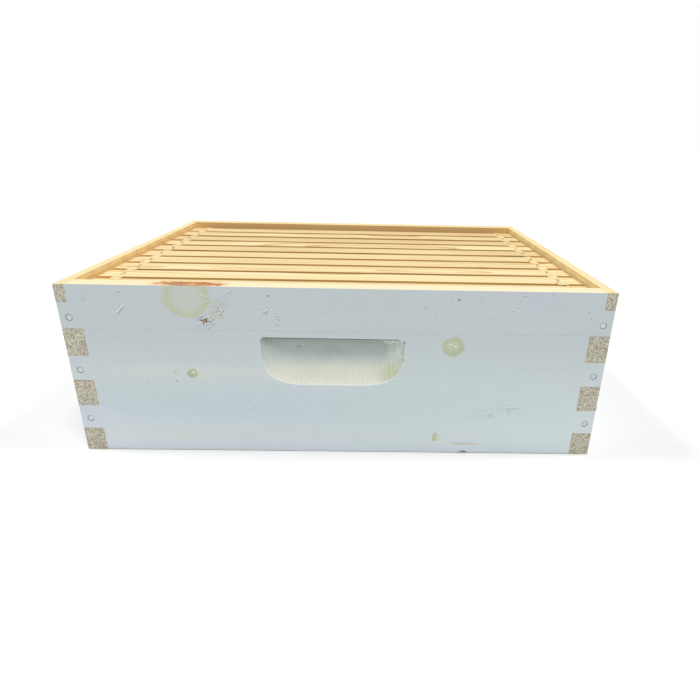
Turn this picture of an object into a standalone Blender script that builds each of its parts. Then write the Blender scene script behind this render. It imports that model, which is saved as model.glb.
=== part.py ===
"""A ten-frame medium hive super: four finger-jointed pine boards holding ten hanging comb frames.

X runs along the long side boards, Y from the front side board to the back one, and Z up.
The origin is in the middle of the box, on the plane of its bottom rim.
"""

import math

import bmesh
import bpy
from mathutils import Matrix

INCH = 0.0254
GAP = 0.0003  # clearance between pieces that touch

# The box
BOX_LENGTH = 19.875 * INCH
BOX_WIDTH = 16.25 * INCH
BOX_HEIGHT = 6.625 * INCH
BOARD = 0.75 * INCH
REST_DROP = 0.0162  # top rim down to the ledge that the frames hang on
REST_WIDE = 0.375 * INCH
FINGER = 0.0257  # one full finger of the corner joint
FULL_FINGERS = 5  # between a short one at the top, as high as the rest's drop, and the bottom one
SIDE_FINGERS = (1, 3, 5)  # the side boards' fingers, counted from the end boards' top one, which is 0

# The hand grips, dished by a large cutter: deepest under a straight upper edge
GRIP_WIDE = 0.1335
GRIP_HIGH = 0.048
GRIP_DEEP = 0.0125
GRIP_DROP = 0.0485  # top rim down to the grip's upper edge
GRIP_SQUARENESS = 4.0  # power of the superellipse that the lower outline follows
FRONT_GRIP_SHIFT = -0.0055

# The nails through the front board's fingers
NAIL_LENGTH = 0.050
NAIL_RADIUS = 0.0015
NAIL_POINT = 0.004
NAIL_HEAD_RADIUS = 0.0028
NAIL_HEAD_THICK = 0.0010
NAIL_SINK = 0.0002  # head below the board's face
NAIL_INSET = 0.0088  # corner of the box to the nail
NAIL_DROP = 0.0018  # finger's middle down to the nail
NAIL_SIDES = 12

# The frames
TOP_BAR_LENGTH = 19.0 * INCH
TOP_BAR_WIDE = 1.0625 * INCH
TOP_BAR_THICK = 0.75 * INCH
LUG_THICK = 0.375 * INCH
NECK_WIDE = 0.875 * INCH
FRAME_SPAN = 17.75 * INCH  # over both end bars
FRAME_HEIGHT = 6.25 * INCH
END_BAR_THICK = 0.375 * INCH
END_BAR_WIDE = 1.375 * INCH
END_BAR_NARROW = 1.125 * INCH
SHOULDER_HEIGHT = 2.25 * INCH  # how far the end bar stays wide, from its top
TAPER_HEIGHT = 0.5 * INCH
BOTTOM_BAR_WIDE = 0.75 * INCH
BOTTOM_BAR_THICK = 0.375 * INCH
GROOVE_WIDE = 0.0034
TOP_GROOVE_DEEP = 0.25 * INCH
BOTTOM_GROOVE_DEEP = 0.0045
FOUNDATION_THICK = 0.0024
FOUNDATION_LENGTH = 16.75 * INCH
WIRE_HOLE_RADIUS = 0.0016
WIRE_HOLES = 3
WIRE_HOLE_SIDES = 8
FRAME_FRONT_GAP = 0.0009  # front board to the first frame's shoulders
FRAME_GAPS = (0.0010, 0.0004, 0.0006, 0.0004, 0.0020, 0.0010, 0.0004, 0.0039, 0.0007)

FRAME_REST = BOX_HEIGHT - REST_DROP + GAP  # underside of the lugs
FRAME_TOP = FRAME_REST + LUG_THICK
FRAME_BOTTOM = FRAME_TOP - FRAME_HEIGHT
END_BAR_INNER = FRAME_SPAN / 2 - END_BAR_THICK
SIDE_LENGTH_AXES = Matrix.Rotation(math.radians(90), 4, "X")  # outline drawn in XZ
END_AXES = Matrix(((0, 0, 1, 0), (1, 0, 0, 0), (0, 1, 0, 0), (0, 0, 0, 1)))  # drawn in YZ


def clear_scene():
    for thing in list(bpy.data.objects):
        bpy.data.objects.remove(thing)


def new_collection(name):
    collection = bpy.data.collections.new(name)
    bpy.context.scene.collection.children.link(collection)
    return collection


def make_material(name, colour, roughness, metallic=0.0):
    material = bpy.data.materials.new(name)
    material.use_nodes = True
    shader = material.node_tree.nodes["Principled BSDF"]
    shader.inputs["Base Color"].default_value = (*colour, 1.0)
    shader.inputs["Roughness"].default_value = roughness
    shader.inputs["Metallic"].default_value = metallic
    return material


def mesh_object(name, mesh, collection, material=None):
    if material and not mesh.materials:
        mesh.materials.append(material)
    thing = bpy.data.objects.new(name, mesh)
    collection.objects.link(thing)
    return thing


def outline_mesh(name, points, thickness, axes):
    """A flat outline given its thickness, both ways from its plane, and welded into one closed mesh."""
    curve = bpy.data.curves.new(name, "CURVE")
    curve.dimensions = "2D"
    curve.fill_mode = "BOTH"
    curve.extrude = thickness / 2
    spline = curve.splines.new("POLY")
    spline.points.add(len(points) - 1)
    for point, (across, up) in zip(spline.points, points):
        point.co = (across, up, 0, 1)
    spline.use_cyclic_u = True
    drawn = bpy.data.objects.new(name, curve)
    bpy.context.scene.collection.objects.link(drawn)
    graph = bpy.context.evaluated_depsgraph_get()
    mesh = bpy.data.meshes.new_from_object(drawn.evaluated_get(graph))
    bpy.data.objects.remove(drawn)
    bpy.data.curves.remove(curve)
    shape = bmesh.new()
    shape.from_mesh(mesh)
    bmesh.ops.remove_doubles(shape, verts=shape.verts, dist=1e-6)
    bmesh.ops.dissolve_limit(shape, angle_limit=0.001, verts=shape.verts, edges=shape.edges)
    bmesh.ops.transform(shape, matrix=axes, verts=shape.verts)
    bmesh.ops.recalc_face_normals(shape, faces=shape.faces)
    shape.to_mesh(mesh)
    shape.free()
    return mesh


def box_mesh(name, low, high):
    size = [b - a for a, b in zip(low, high)]
    middle = [(a + b) / 2 for a, b in zip(low, high)]
    shape = bmesh.new()
    bmesh.ops.create_cube(shape, size=1.0)
    bmesh.ops.scale(shape, vec=size, verts=shape.verts)
    bmesh.ops.translate(shape, vec=middle, verts=shape.verts)
    mesh = bpy.data.meshes.new(name)
    shape.to_mesh(mesh)
    shape.free()
    return mesh


def shade_round(mesh):
    mesh.shade_smooth()
    mesh.set_sharp_from_angle(angle=math.radians(40))


def add_cutter(name, mesh, matrix=None):
    cutter = mesh_object(name, mesh, cutters)
    cutter.hide_render = True
    cutter.display_type = "WIRE"
    if matrix:
        cutter.matrix_world = matrix
    return cutter


def cut(target, cutter):
    modifier = target.modifiers.new(cutter.name, "BOOLEAN")
    modifier.operation = "DIFFERENCE"
    modifier.object = cutter


def evaluated_mesh(thing, name):
    """The mesh of an object with its cuts made, for copies that share it."""
    bpy.context.view_layer.update()
    graph = bpy.context.evaluated_depsgraph_get()
    mesh = bpy.data.meshes.new_from_object(thing.evaluated_get(graph))
    mesh.name = name
    return mesh


def finger_levels():
    """Heights of the lines between the fingers of a corner, from the top rim down to the bottom."""
    first = BOX_HEIGHT - REST_DROP
    return [BOX_HEIGHT, *(first - FINGER * count for count in range(FULL_FINGERS + 1)), 0.0]


def both_edges(edge):
    """A closed outline from its right-hand edge, listed from the top down, and that edge's mirror image."""
    return edge + [(-across, up) for across, up in reversed(edge)]


def side_board_outline():
    """Each edge steps in and out with the board's fingers, which stay clear of the end board's."""
    short = BOX_LENGTH / 2 - BOARD - GAP
    edge = []
    levels = finger_levels()
    for finger, (top, bottom) in enumerate(zip(levels, levels[1:])):
        if finger in SIDE_FINGERS:
            edge += [(BOX_LENGTH / 2, top - GAP), (BOX_LENGTH / 2, bottom + GAP)]
        else:
            reach = short if finger else short + REST_WIDE
            edge += [(reach, top), (reach, bottom)]
    return both_edges(edge)


def grip_mesh(name):
    """The solid that the grip cutter sweeps out: half a rounded lens, flat on top, facing -Y."""
    shape = bmesh.new()
    bmesh.ops.create_uvsphere(shape, u_segments=36, v_segments=14, radius=1.0)
    bmesh.ops.rotate(shape, matrix=Matrix.Rotation(math.radians(90), 3, "X"), verts=shape.verts)
    for vertex in shape.verts:
        x, y, z = vertex.co
        reach = min(1.0, math.hypot(x, z))
        turn = math.atan2(z, x)
        across, up = math.cos(turn), math.sin(turn)
        across = math.copysign(abs(across) ** (2 / GRIP_SQUARENESS), across)
        up = math.copysign(abs(up) ** (2 / GRIP_SQUARENESS), up)
        steepness = 2.0 + 4.0 * across * across  # the ends rise more steeply than the lower slope
        vertex.co.x = across * reach * GRIP_WIDE / 2
        vertex.co.z = up * reach * GRIP_HIGH
        vertex.co.y = math.copysign(GRIP_DEEP * (1.0 - reach**steepness), y)
    everything = shape.verts[:] + shape.edges[:] + shape.faces[:]
    bmesh.ops.bisect_plane(
        shape, geom=everything, dist=1e-7, plane_co=(0, 0, 0), plane_no=(0, 0, 1), clear_outer=True
    )
    bmesh.ops.remove_doubles(shape, verts=shape.verts, dist=1e-6)
    bmesh.ops.holes_fill(shape, edges=shape.edges)
    bmesh.ops.recalc_face_normals(shape, faces=shape.faces)
    mesh = bpy.data.meshes.new(name)
    shape.to_mesh(mesh)
    shape.free()
    shade_round(mesh)
    return mesh


def turned_mesh(name, profile):
    """A profile of (radius, height) points, from the top down, turned about Z into a closed mesh."""
    mesh = bpy.data.meshes.new(name + "_profile")
    edges = [(i, i + 1) for i in range(len(profile) - 1)]
    mesh.from_pydata([(radius, 0, height) for radius, height in profile], edges, [])
    thing = bpy.data.objects.new(name, mesh)
    bpy.context.scene.collection.objects.link(thing)
    screw = thing.modifiers.new("turn", "SCREW")
    screw.steps = screw.render_steps = NAIL_SIDES
    screw.use_merge_vertices = True
    screw.merge_threshold = 1e-5
    turned = evaluated_mesh(thing, name)
    bpy.data.objects.remove(thing)
    shade_round(turned)
    return turned


def nail_profile(clearance):
    """A nail standing head up, its head's top at zero, or the hole for it where clearance isn't zero."""
    head_top = NAIL_SINK + GAP if clearance else 0.0
    head_under = -NAIL_HEAD_THICK - clearance
    shank_end = -NAIL_LENGTH + NAIL_POINT
    return [
        (0, head_top),
        (NAIL_HEAD_RADIUS + clearance, head_top),
        (NAIL_HEAD_RADIUS + clearance, head_under),
        (NAIL_RADIUS + clearance, head_under),
        (NAIL_RADIUS + clearance, shank_end),
        (0, -NAIL_LENGTH - clearance),
    ]


def build_box():
    """The four boards, their grips, and the nails in the front corners."""
    grip = grip_mesh("grip_cutter")
    grip_height = BOX_HEIGHT - GRIP_DROP
    side_mesh = outline_mesh("side_board", side_board_outline(), BOARD, SIDE_LENGTH_AXES)
    end_high = (BOX_WIDTH / 2, BOARD / 2, BOX_HEIGHT)
    end_mesh = box_mesh("end_board", (-BOX_WIDTH / 2, -BOARD / 2, 0), end_high)
    boards = {}
    for name, mesh, facing, distance, shift in (
        ("front_side_board", side_mesh, 0, BOX_WIDTH / 2, FRONT_GRIP_SHIFT),
        ("back_side_board", side_mesh, 180, BOX_WIDTH / 2, 0.0),
        ("left_end_board", end_mesh, -90, BOX_LENGTH / 2, 0.0),
        ("right_end_board", end_mesh, 90, BOX_LENGTH / 2, 0.0),
    ):
        turn = Matrix.Rotation(math.radians(facing), 4, "Z")
        board = mesh_object(name, mesh.copy(), super_parts, painted_pine)
        middle = turn @ Matrix.Translation((0, BOARD / 2 - distance, 0))
        board.matrix_world = middle
        place = turn @ Matrix.Translation((shift, -distance, grip_height))
        cut(board, add_cutter(name + "_grip", grip, place))
        boards[name] = board
    for side, name in ((-1, "left_end_board"), (1, "right_end_board")):
        inner = side * (BOX_LENGTH / 2 - BOARD - GAP)
        outer = side * (BOX_LENGTH / 2 - BOARD + REST_WIDE)
        low = (min(inner, outer), -BOX_WIDTH, BOX_HEIGHT - REST_DROP)
        high = (max(inner, outer), BOX_WIDTH, BOX_HEIGHT + BOARD)
        cut(boards[name], add_cutter(name + "_frame_rest", box_mesh("frame_rest", low, high)))
    levels = finger_levels()
    for finger in SIDE_FINGERS:
        for side in (-1, 1):
            inner = side * (BOX_WIDTH / 2 - BOARD - GAP)
            low = (-BOX_LENGTH, min(inner, side * BOX_WIDTH), levels[finger + 1])
            high = (BOX_LENGTH, max(inner, side * BOX_WIDTH), levels[finger])
            socket = add_cutter("finger_socket", box_mesh("finger_socket", low, high))
            cut(boards["left_end_board"], socket)
            cut(boards["right_end_board"], socket)
    nail = turned_mesh("nail", nail_profile(0.0))
    hole = turned_mesh("nail_hole", nail_profile(GAP))
    head_out = Matrix.Rotation(math.radians(90), 4, "X")
    for side, word in ((-1, "left"), (1, "right")):
        for row, finger in zip(("upper", "middle", "lower"), SIDE_FINGERS):
            name = f"{word}_{row}_nail"
            height = (levels[finger] + levels[finger + 1]) / 2 - NAIL_DROP
            across = side * (BOX_LENGTH / 2 - NAIL_INSET)
            place = Matrix.Translation((across, NAIL_SINK - BOX_WIDTH / 2, height)) @ head_out
            mesh_object(name, nail, super_parts, nail_steel).matrix_world = place
            cutter = add_cutter(name + "_hole", hole, place)
            cut(boards["front_side_board"], cutter)
            cut(boards[word + "_end_board"], cutter)


def top_bar_mesh():
    """Seen from the side a bar with thinner lugs, then necked where the end bars go, and grooved below."""
    notch_in, notch_out = END_BAR_INNER - GAP, FRAME_SPAN / 2 + GAP
    bar_under = FRAME_TOP - TOP_BAR_THICK
    edge = [
        (TOP_BAR_LENGTH / 2, FRAME_TOP),
        (TOP_BAR_LENGTH / 2, FRAME_REST),
        (notch_in, FRAME_REST),
        (notch_in, bar_under),
    ]
    mesh = outline_mesh("top_bar", both_edges(edge), TOP_BAR_WIDE, SIDE_LENGTH_AXES)
    bar = mesh_object("bar", mesh, cutters, bare_pine)
    blocks = [
        (
            (-TOP_BAR_LENGTH, -GROOVE_WIDE / 2, bar_under - BOARD),
            (TOP_BAR_LENGTH, GROOVE_WIDE / 2, bar_under + TOP_GROOVE_DEEP),
        )
    ]
    for low_x, high_x in ((-notch_out, -notch_in), (notch_in, notch_out)):
        for low_y, high_y in ((-BOARD, -NECK_WIDE / 2), (NECK_WIDE / 2, BOARD)):
            blocks.append(((low_x, low_y, FRAME_REST - BOARD), (high_x, high_y, FRAME_TOP + BOARD)))
    for low, high in blocks:
        cut(bar, add_cutter("top_bar_cut", box_mesh("top_bar_cut", low, high)))
    mesh = evaluated_mesh(bar, "top_bar")
    bpy.data.objects.remove(bar)
    return mesh


def end_bar_mesh():
    """Forked over the top bar's neck, wide at its shoulders, and slotted for the bottom bar."""
    half_wide, half_narrow = END_BAR_WIDE / 2, END_BAR_NARROW / 2
    fork = NECK_WIDE / 2 + GAP
    slot = BOTTOM_BAR_WIDE / 2 + GAP
    shoulder = FRAME_TOP - SHOULDER_HEIGHT
    edge = [
        (fork, FRAME_REST - GAP),
        (fork, FRAME_TOP),
        (half_wide, FRAME_TOP),
        (half_wide, shoulder),
        (half_narrow, shoulder - TAPER_HEIGHT),
        (half_narrow, FRAME_BOTTOM),
        (slot, FRAME_BOTTOM),
        (slot, FRAME_BOTTOM + BOTTOM_BAR_THICK + GAP),
    ]
    mesh = outline_mesh("end_bar", both_edges(edge), END_BAR_THICK, END_AXES)
    bar = mesh_object("bar", mesh, cutters, bare_pine)
    for number in range(WIRE_HOLES):
        share = (number + 1) / (WIRE_HOLES + 1)
        height = FRAME_BOTTOM + BOTTOM_BAR_THICK + share * (FRAME_HEIGHT - TOP_BAR_THICK - BOTTOM_BAR_THICK)
        shape = bmesh.new()
        bmesh.ops.create_cone(
            shape,
            cap_ends=True,
            segments=WIRE_HOLE_SIDES,
            radius1=WIRE_HOLE_RADIUS,
            radius2=WIRE_HOLE_RADIUS,
            depth=3 * END_BAR_THICK,
        )
        drill = bpy.data.meshes.new("wire_hole")
        shape.to_mesh(drill)
        shape.free()
        place = Matrix.Translation((0, 0, height)) @ Matrix.Rotation(math.radians(90), 4, "Y")
        cut(bar, add_cutter(f"wire_hole_{number + 1}", drill, place))
    drilled = evaluated_mesh(bar, "end_bar")
    bpy.data.objects.remove(bar)
    return drilled


def bottom_bar_mesh():
    """A plain strip, grooved along its upper face for the foundation."""
    half_wide, half_groove = BOTTOM_BAR_WIDE / 2, GROOVE_WIDE / 2
    top = FRAME_BOTTOM + BOTTOM_BAR_THICK
    edge = [
        (half_groove, top - BOTTOM_GROOVE_DEEP),
        (half_groove, top),
        (half_wide, top),
        (half_wide, FRAME_BOTTOM),
    ]
    return outline_mesh("bottom_bar", both_edges(edge), FRAME_SPAN, END_AXES)


def foundation_mesh():
    top = FRAME_TOP - TOP_BAR_THICK + TOP_GROOVE_DEEP - GAP
    bottom = FRAME_BOTTOM + BOTTOM_BAR_THICK - BOTTOM_GROOVE_DEEP + GAP
    low = (-FOUNDATION_LENGTH / 2, -FOUNDATION_THICK / 2, bottom)
    high = (FOUNDATION_LENGTH / 2, FOUNDATION_THICK / 2, top)
    return box_mesh("foundation", low, high)


def build_frames():
    """Ten frames, each hung by its lugs and parented to an empty that it lifts out with."""
    end_bar_middle = (FRAME_SPAN - END_BAR_THICK) / 2
    end_bar = end_bar_mesh()
    pieces = (
        ("top_bar", top_bar_mesh(), 0.0, bare_pine),
        ("left_end_bar", end_bar, -end_bar_middle, bare_pine),
        ("right_end_bar", end_bar, end_bar_middle, bare_pine),
        ("bottom_bar", bottom_bar_mesh(), 0.0, bare_pine),
        ("foundation", foundation_mesh(), 0.0, wax),
    )
    middle = BOARD - BOX_WIDTH / 2 + FRAME_FRONT_GAP + END_BAR_WIDE / 2
    for number, gap in enumerate((*FRAME_GAPS, 0.0), start=1):
        lift = bpy.data.objects.new(f"frame_{number:02d}_lift", None)
        lift.location.y = middle
        super_parts.objects.link(lift)
        for word, mesh, across, material in pieces:
            piece = mesh_object(f"frame_{number:02d}_{word}", mesh, super_parts, material)
            piece.location.x = across
            piece.parent = lift
        middle += END_BAR_WIDE + gap


clear_scene()
super_parts = new_collection("hive_super")
cutters = new_collection("cutters")
painted_pine = make_material("painted_pine", (0.70, 0.74, 0.78), 0.55)
bare_pine = make_material("bare_pine", (0.83, 0.62, 0.36), 0.6)
wax = make_material("wax_foundation", (0.80, 0.60, 0.18), 0.45)
nail_steel = make_material("painted_nail_steel", (0.62, 0.65, 0.68), 0.45, 0.3)
build_box()
build_frames()
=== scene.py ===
"""Looks of a ten-frame hive super: painted pine box, comb frames, nails, staples and waxed sheets."""
import math
import random

import bmesh
import bpy
from mathutils import Matrix, Vector, noise


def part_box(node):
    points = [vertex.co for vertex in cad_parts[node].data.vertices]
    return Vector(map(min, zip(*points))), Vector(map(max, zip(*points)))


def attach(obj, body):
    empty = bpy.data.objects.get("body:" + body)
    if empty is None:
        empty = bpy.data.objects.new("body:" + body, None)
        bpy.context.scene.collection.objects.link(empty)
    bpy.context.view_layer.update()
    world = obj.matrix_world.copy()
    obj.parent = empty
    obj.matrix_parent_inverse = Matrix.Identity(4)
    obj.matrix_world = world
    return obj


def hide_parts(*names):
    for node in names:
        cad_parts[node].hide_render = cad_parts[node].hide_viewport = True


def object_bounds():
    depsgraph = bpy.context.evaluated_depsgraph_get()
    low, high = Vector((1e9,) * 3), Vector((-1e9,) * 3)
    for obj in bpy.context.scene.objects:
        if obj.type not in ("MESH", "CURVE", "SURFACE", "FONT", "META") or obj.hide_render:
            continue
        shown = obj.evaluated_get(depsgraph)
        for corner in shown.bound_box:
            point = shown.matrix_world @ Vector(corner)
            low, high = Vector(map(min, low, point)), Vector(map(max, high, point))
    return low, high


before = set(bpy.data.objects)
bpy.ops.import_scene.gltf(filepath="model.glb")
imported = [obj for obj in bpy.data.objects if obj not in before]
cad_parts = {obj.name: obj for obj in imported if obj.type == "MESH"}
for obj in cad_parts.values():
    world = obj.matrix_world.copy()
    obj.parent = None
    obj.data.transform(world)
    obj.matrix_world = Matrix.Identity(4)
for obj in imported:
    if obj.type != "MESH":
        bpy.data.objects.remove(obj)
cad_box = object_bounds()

# ---------------------------------------------------------------------------
# The room: a plain white paper floor, a wide soft sun over each end of the
# box, a stronger one high in front, and an even sky. The camera stands in
# front of the long side and looks down over the rim.

FLOOR_WIDE = 80
FLOOR_DROP = 0.0005  # the paper lies this far below the box


def srgb(code):
    """A hex colour as linear red, green, blue and alpha."""
    channels = [int(code[i : i + 2], 16) / 255 for i in (1, 3, 5)]
    linear = [c / 12.92 if c <= 0.04045 else ((c + 0.055) / 1.055) ** 2.4 for c in channels]
    return (*linear, 1.0)


def new_material(name, roughness):
    material = bpy.data.materials.new(name)
    material.use_nodes = True
    shader = material.node_tree.nodes["Principled BSDF"]
    shader.inputs["Roughness"].default_value = roughness
    return material, shader


def add_node(owner, kind, inputs=None, **settings):
    """A node with its settings; each input is linked from a socket or set to a value."""
    node = owner.node_tree.nodes.new(kind)
    for name, value in settings.items():
        setattr(node, name, value)
    for key, source in (inputs or {}).items():
        if isinstance(source, bpy.types.NodeSocket):
            owner.node_tree.links.new(source, node.inputs[key])
        else:
            node.inputs[key].default_value = source
    return node


def set_colour(material, shader, colour):
    material.node_tree.links.new(colour, shader.inputs["Base Color"])


def deselect_all():
    bpy.ops.object.select_all(action="DESELECT")


def make_active(piece):
    deselect_all()
    piece.select_set(True)
    bpy.context.view_layer.objects.active = piece


floor_paper, shader = new_material("matt_white_paper", 0.9)
shader.inputs["Base Color"].default_value = srgb("#fafafa")
shader.inputs["Specular IOR Level"].default_value = 0.1
deselect_all()
bpy.ops.mesh.primitive_plane_add(size=FLOOR_WIDE, location=(0, 0, -FLOOR_DROP))
floor = bpy.context.object
floor.name = "floor"
floor.data.materials.append(floor_paper)

studio = bpy.data.worlds.new("studio")
bpy.context.scene.world = studio
studio.use_nodes = True
sky = studio.node_tree.nodes["Background"]
sky.inputs["Color"].default_value = srgb("#eef4ff")
sky.inputs["Strength"].default_value = 0.28
# The camera sees plain white behind the box, whatever light the sky gives.
backdrop = add_node(studio, "ShaderNodeBackground", {"Color": (1, 1, 1, 1), "Strength": 1.0})
seen = add_node(studio, "ShaderNodeLightPath")
both = add_node(
    studio,
    "ShaderNodeMixShader",
    {0: seen.outputs["Is Camera Ray"], 1: sky.outputs[0], 2: backdrop.outputs[0]},
)
studio.node_tree.links.new(both.outputs[0], studio.node_tree.nodes["World Output"].inputs[0])


def add_softbox(name, place, power, spread):
    """A wide sun that shines from a place towards the middle of the floor."""
    deselect_all()
    bpy.ops.object.light_add(type="SUN", location=place)
    lamp = bpy.context.object
    lamp.name = name
    lamp.data.energy = power
    lamp.data.color = srgb("#fffdf8")[:3]
    lamp.data.angle = math.radians(spread)
    aim = Vector((0, 0, 0)) - Vector(place)
    lamp.rotation_euler = aim.to_track_quat("-Z", "Y").to_euler()


add_softbox("left_softbox", (-1.7, 0.30, 2.1), 1.12, 18)
add_softbox("right_softbox", (1.7, 0.25, 2.1), 0.95, 18)
add_softbox("front_softbox", (0.5, -1.0, 2.3), 1.54, 24)

CAMERA_PLACE = Vector((0.02956, -0.67562, 0.28987))
CAMERA_RIGHT = Vector((0.99971, -0.01280, 0.02050))
CAMERA_DOWN = Vector((0.01377, -0.39561, -0.91832))
CAMERA_AHEAD = Vector((0.01987, 0.91833, -0.39532))
CAMERA_LENS = 27.675  # mm, on the usual 36 mm sensor
CAMERA_SHIFT = (-0.0445, 0.0321)
deselect_all()
bpy.ops.object.camera_add(location=CAMERA_PLACE)
camera = bpy.context.object
camera.data.lens = CAMERA_LENS
camera.data.shift_x, camera.data.shift_y = CAMERA_SHIFT
camera.data.clip_start = 0.01
turn = Matrix((CAMERA_RIGHT, -CAMERA_DOWN, -CAMERA_AHEAD)).transposed()
camera.rotation_euler = turn.to_euler()
bpy.context.scene.camera = camera
bpy.context.scene.view_settings.view_transform = "Standard"

# ---------------------------------------------------------------------------
# Pine, planed and left bare: pale soft wood with darker late-wood rings. The
# rings are those of the log that each piece was sawn from, so a board's face
# shows arches, its edge straight lines and its end the rings themselves.

RING_WIDE = 0.0025  # growth in a year
FIBRE = 0.0006
PITH_STRAY = 0.014  # how far a trunk's pith wanders from a straight line
SAPWOOD = ("#fae8b4", "#d09c50")  # early and late wood


def set_log_place(piece, along, pith, seed, tone=0.0):
    """Stores each point's place in its log, X up the trunk, Y and Z from the pith, and its tone."""
    tones = piece.data.attributes.new("wood_tone", "FLOAT", "POINT")
    tones.data.foreach_set("value", [tone] * len(piece.data.vertices))
    spots = piece.data.attributes.new("log_place", "FLOAT_VECTOR", "POINT")
    corners = [Vector(corner) for corner in piece.bound_box]
    middle = (corners[0] + corners[6]) / 2
    up = "xyz".index(along)
    first, second = [axis for axis in range(3) if axis != up]
    for vertex, spot in zip(piece.data.vertices, spots.data):
        local = vertex.co - middle
        spot.vector = (local[up] + seed, local[first] + pith[0], local[second] + pith[1])


def ramp(owner, source, stops):
    """A colour ramp over hex colours, as (place, colour) pairs."""
    node = add_node(owner, "ShaderNodeValToRGB", {0: source})
    elements = node.color_ramp.elements
    while len(elements) < len(stops):
        elements.new(0.5)
    for element, (place, colour) in zip(elements, stops):
        element.position = place
        element.color = srgb(colour) if isinstance(colour, str) else (colour, colour, colour, 1)
    return node.outputs["Color"]


def math_node(owner, operation, first, second=0.5, third=0.5, clamp=False):
    inputs = {0: first, 1: second, 2: third}
    return add_node(owner, "ShaderNodeMath", inputs, operation=operation, use_clamp=clamp).outputs[0]


def vector_math(owner, operation, *sources):
    """A vector operation on sockets or constants; a length or a dot product gives one value."""
    node = add_node(owner, "ShaderNodeVectorMath", dict(enumerate(sources)), operation=operation)
    return node.outputs["Value" if operation in ("LENGTH", "DOT_PRODUCT") else "Vector"]


def mix_colours(owner, factor, first, second, blend="MIX"):
    node = add_node(owner, "ShaderNodeMix", data_type="RGBA", blend_type=blend, clamp_factor=True)
    for key, source in ((0, factor), (6, first), (7, second)):
        if isinstance(source, bpy.types.NodeSocket):
            owner.node_tree.links.new(source, node.inputs[key])
        else:
            node.inputs[key].default_value = srgb(source) if isinstance(source, str) else source
    return node.outputs[2]


def stretched_noise(owner, vector, stretch, scale, detail=2.0, roughness=0.5):
    place = add_node(owner, "ShaderNodeMapping", {"Vector": vector, "Scale": stretch})
    inputs = {"Vector": place.outputs[0], "Scale": scale, "Detail": detail, "Roughness": roughness}
    return add_node(owner, "ShaderNodeTexNoise", inputs).outputs["Fac"]


def pine_colour(owner, early, late, contrast=1.0, ring_wide=RING_WIDE):
    """The colour of bare pine and the height of its grain."""
    log = add_node(owner, "ShaderNodeAttribute", attribute_name="log_place").outputs["Vector"]
    sway = add_node(owner, "ShaderNodeMapping", {"Vector": log, "Scale": (3.5, 9.0, 9.0)})
    wander = add_node(
        owner,
        "ShaderNodeTexNoise",
        {"Vector": sway.outputs[0], "Scale": 1.0, "Detail": 2.0, "Roughness": 0.45},
    )
    centred = vector_math(owner, "SUBTRACT", wander.outputs["Color"], (0.5, 0.5, 0.5))
    moved = vector_math(owner, "MULTIPLY_ADD", centred, (0, PITH_STRAY, PITH_STRAY), log)
    radius = vector_math(owner, "LENGTH", vector_math(owner, "MULTIPLY", moved, (0, 1, 1)))
    year = math_node(owner, "MULTIPLY", radius, 1 / ring_wide)
    season = math_node(owner, "FRACT", year)
    rings = ramp(owner, season, ((0.0, 0.0), (0.45, 0.12), (0.80, 0.62), (0.93, 1.0), (1.0, 0.0)))
    fibres = stretched_noise(owner, log, (0.02, 1.0, 1.0), 1 / FIBRE, 3.0, 0.6)
    streaks = stretched_noise(owner, log, (0.06, 1.0, 1.0), 130.0, 2.0, 0.5)
    tone = stretched_noise(owner, log, (0.4, 1.0, 1.0), 14.0, 2.0, 0.5)
    lateness = math_node(owner, "MULTIPLY", rings, 0.75 * contrast)
    lateness = math_node(owner, "MULTIPLY_ADD", fibres, 0.30, lateness)
    lateness = math_node(owner, "MULTIPLY_ADD", streaks, 0.44, lateness)
    lateness = math_node(owner, "MULTIPLY_ADD", tone, 0.5, lateness)
    own_tone = add_node(owner, "ShaderNodeAttribute", attribute_name="wood_tone").outputs["Fac"]
    lateness = math_node(owner, "ADD", lateness, own_tone)
    lateness = math_node(owner, "SUBTRACT", lateness, 0.56, clamp=True)
    colour = mix_colours(owner, lateness, early, late)
    height = math_node(owner, "MULTIPLY_ADD", fibres, 0.6, rings)
    return colour, height


def bump(owner, shader, height, distance, strength=1.0, under=None):
    inputs = {"Height": height, "Distance": distance, "Strength": strength}
    if under is not None:
        inputs["Normal"] = under
    node = add_node(owner, "ShaderNodeBump", inputs)
    owner.node_tree.links.new(node.outputs[0], shader.inputs["Normal"])
    return node.outputs[0]


def planed_pine(name, early, late, contrast=1.0):
    material, shader = new_material(name, 0.55)
    colour, height = pine_colour(material, early, late, contrast)
    set_colour(material, shader, colour)
    bump(material, shader, height, 0.00008)
    return material


bare_pine = planed_pine("planed_pine_sapwood", *SAPWOOD)
warm_pine = planed_pine("planed_pine_heartwood", "#ffdfa0", "#e9ad5c", 0.6)
gold_pine = planed_pine("planed_pine_in_between", "#ffebb2", "#f0b968", 0.6)
pale_pine = planed_pine("planed_pine_rim", "#fbe8b6", "#e0b669", 0.6)
# Darker, warmer pine for the top bars' sides: painted shade in the gaps between the bars.
shaded_side_pine = planed_pine("planed_pine_in_painted_shade", "#f3cb80", "#c98b3e", 0.7)

# ---------------------------------------------------------------------------
# The four boards of the box: planed pine, finger-jointed, glued and painted
# outside only. Milled hand grips, a ledge for the frames along both ends, and
# knots, a patched hole and a glue line that show through the front's thin coat.

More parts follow.
